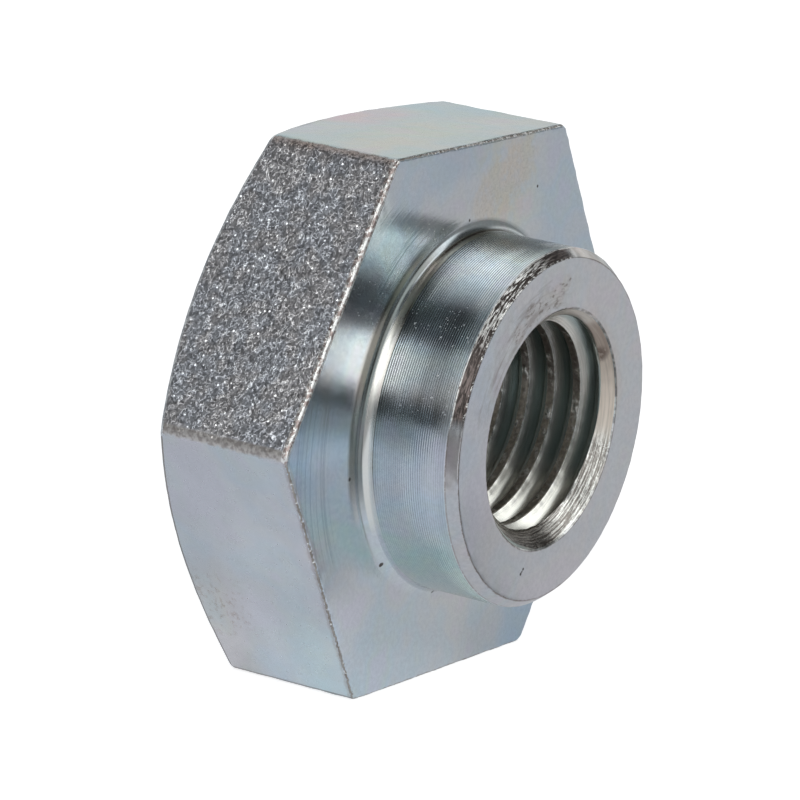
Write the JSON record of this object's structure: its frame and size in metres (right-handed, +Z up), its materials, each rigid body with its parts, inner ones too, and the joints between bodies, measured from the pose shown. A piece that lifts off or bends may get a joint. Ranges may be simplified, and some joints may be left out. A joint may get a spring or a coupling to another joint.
{
  "type": "hex weld nut",
  "caption": "One-piece hexagonal weld nut with a round turned boss on its front and a right-hand metric thread right through.",
  "frame": {"origin": "on the thread axis, in the plane of the shoulder, which is the hexagon's faced front", "axes": "+Y along the thread axis from the shoulder to the chamfered back, so the boss points along -Y; +Z up, square to the flat that the nut stands on"},
  "size_m": [0.0412, 0.0186, 0.036],
  "materials": {
    "zinc_plated_steel": "bright zinc plate over turned and hot-rolled steel"
  },
  "bodies": {
    "root": {"hex_weld_nut": "zinc_plated_steel"}
  },
  "joints": []
}
